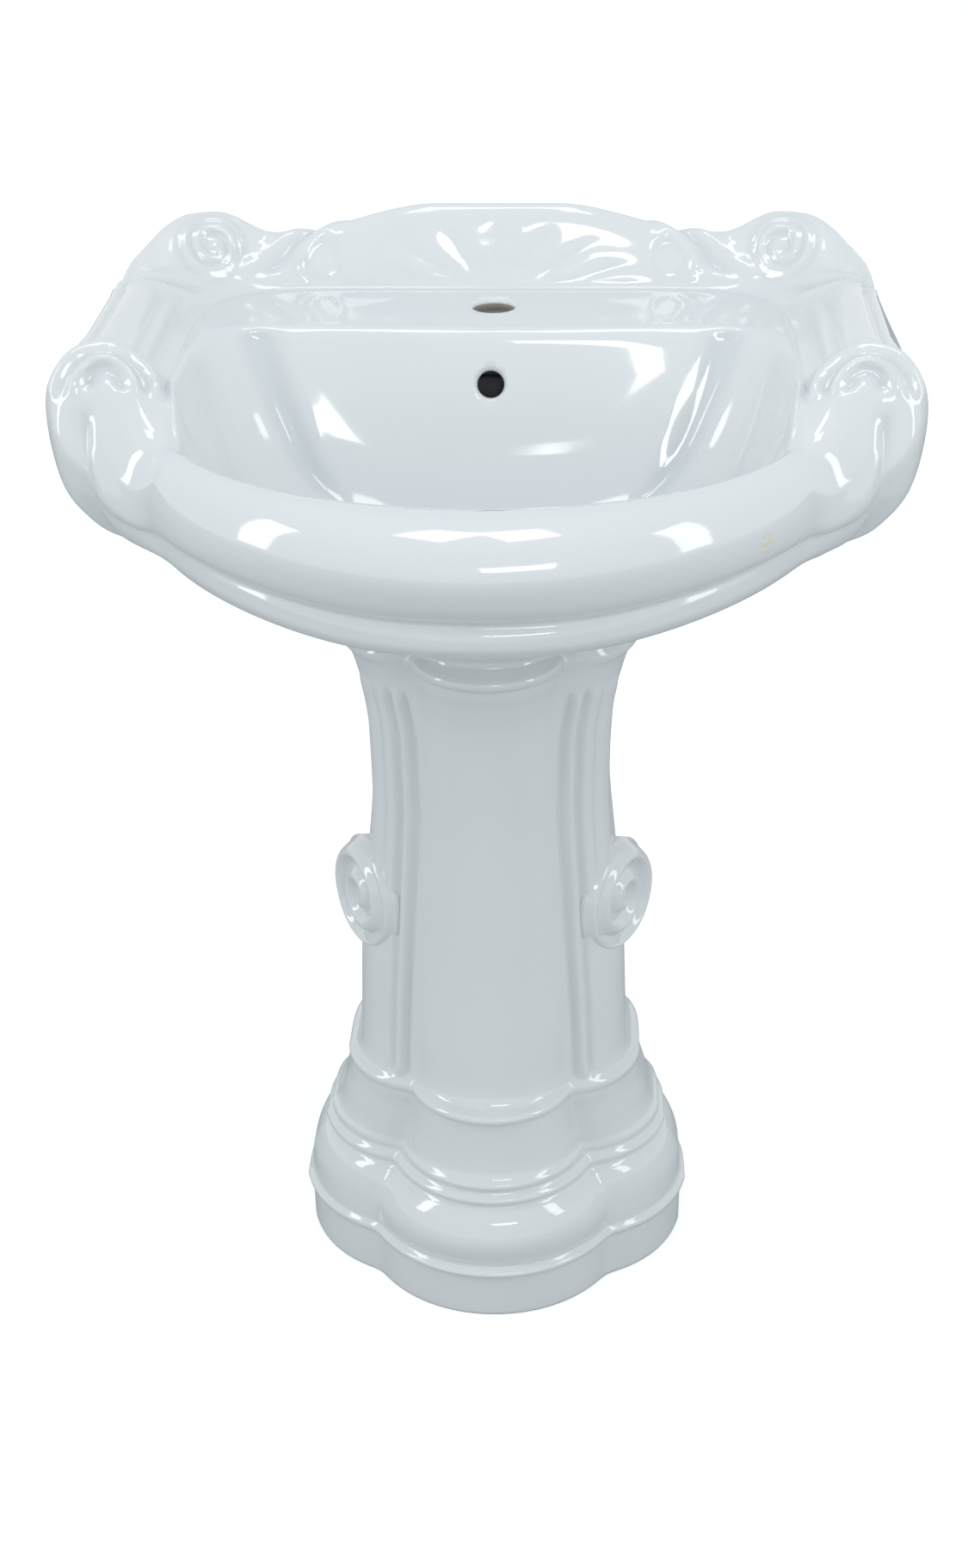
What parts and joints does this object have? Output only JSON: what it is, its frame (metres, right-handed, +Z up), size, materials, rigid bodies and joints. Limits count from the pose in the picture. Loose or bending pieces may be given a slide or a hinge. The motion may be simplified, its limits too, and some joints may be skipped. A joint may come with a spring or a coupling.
{
  "type": "pedestal sink",
  "caption": "White china pedestal sink with a rolled front rim, scrolled arms, a shaped backsplash, a lobed pedestal, pop-up waste and bottle trap.",
  "frame": {"origin": "on the floor, under the middle of the sink's width and depth", "axes": "+Z up, +Y towards the wall, -Y towards the person using the sink, +X to the right seen from the front"},
  "size_m": [0.664, 0.516, 0.905],
  "materials": {
    "china": "white vitreous china, glossy glaze",
    "chrome": "polished chrome plate",
    "brass": "machined brass",
    "rubber": "matt black rubber",
    "nylon": "white nylon",
    "steel": "bright spring steel"
  },
  "bodies": {
    "sink": {"basin": "china", "pedestal": "china", "waste_body": "chrome", "waste_top_gasket": "rubber", "waste_lower_gasket": "rubber", "waste_backnut": "brass", "plug_cartridge": "nylon", "cartridge_nut": "brass", "cartridge_spring": "steel", "inlet_nut": "chrome", "inlet_washer": "rubber", "dip_tube": "chrome", "trap_top_nut": "chrome", "trap_top_washer": "rubber", "trap_head": "chrome", "cup_ring": "rubber", "trap_cup": "chrome", "outlet_nut": "chrome", "outlet_washer": "rubber", "outlet_pipe": "chrome", "wall_escutcheon": "chrome"},
    "plug": {"plug_cap": "chrome", "plug_seal": "rubber", "plug_stem": "brass"}
  },
  "joints": [
    {"name": "plug_press", "type": "slide", "parent": "sink", "child": "plug", "axis": [0, 0, -1], "range_m": [0, 0.009], "stiffness_N_per_m": 300, "springref_m": -0.01, "deforming": ["cartridge_spring"]}
  ]
}
